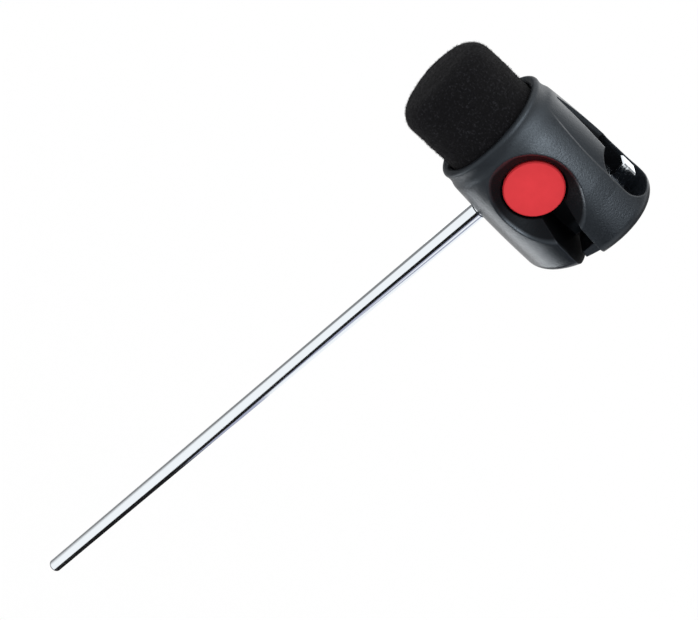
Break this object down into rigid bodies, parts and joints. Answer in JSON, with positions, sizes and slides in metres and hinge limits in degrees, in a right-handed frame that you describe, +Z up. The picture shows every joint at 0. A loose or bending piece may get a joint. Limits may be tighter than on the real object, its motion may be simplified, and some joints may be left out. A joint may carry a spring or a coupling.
{
  "type": "bass drum beater",
  "caption": "Bass drum beater: felt striker in a moulded clamp head with a removable cross weight and a key screw, on a straight steel shaft.",
  "frame": {"origin": "centre of the shaft's free end, where its clamping wall begins", "axes": "+Z up along the shaft to the head, -X the way the felt strikes, Y along the cross weight"},
  "size_m": [0.0772, 0.0442, 0.3133],
  "materials": {
    "shaft_steel": "bright plated steel rod",
    "head_plastic": "satin, fine moulded grain",
    "felt": "pressed black felt",
    "red_plastic": "flat moulded face",
    "slug_steel": "plain turned steel",
    "screw_chrome": "bright plated"
  },
  "bodies": {
    "head": {"shaft": "shaft_steel", "head_body": "head_plastic", "felt_striker": "felt", "clamp_nut": "slug_steel"},
    "weight": {"weight_capsule": "red_plastic", "weight_slug": "slug_steel", "weight_cap": "red_plastic"},
    "washer": {"clamp_washer": "slug_steel"},
    "screw": {"clamp_screw": "screw_chrome"}
  },
  "joints": [
    {"name": "weight_slide", "type": "slide", "parent": "head", "child": "weight", "axis": [0, 1, 0], "range_m": [-0.04, 0.04]},
    {"name": "screw_lift", "type": "slide", "parent": "head", "child": "washer", "axis": [0, 0, 1], "range_m": [0, 0.0024]},
    {"name": "screw_turn", "type": "hinge", "parent": "washer", "child": "screw", "pos_m": [0.0206, 0, 0.291], "axis": [0, 0, 1], "range_deg": [0, 1080]}
  ],
  "couplings": [
    {"joint": "screw_turn", "follows": "screw_lift", "rad_per_m": 7853.9}
  ]
}
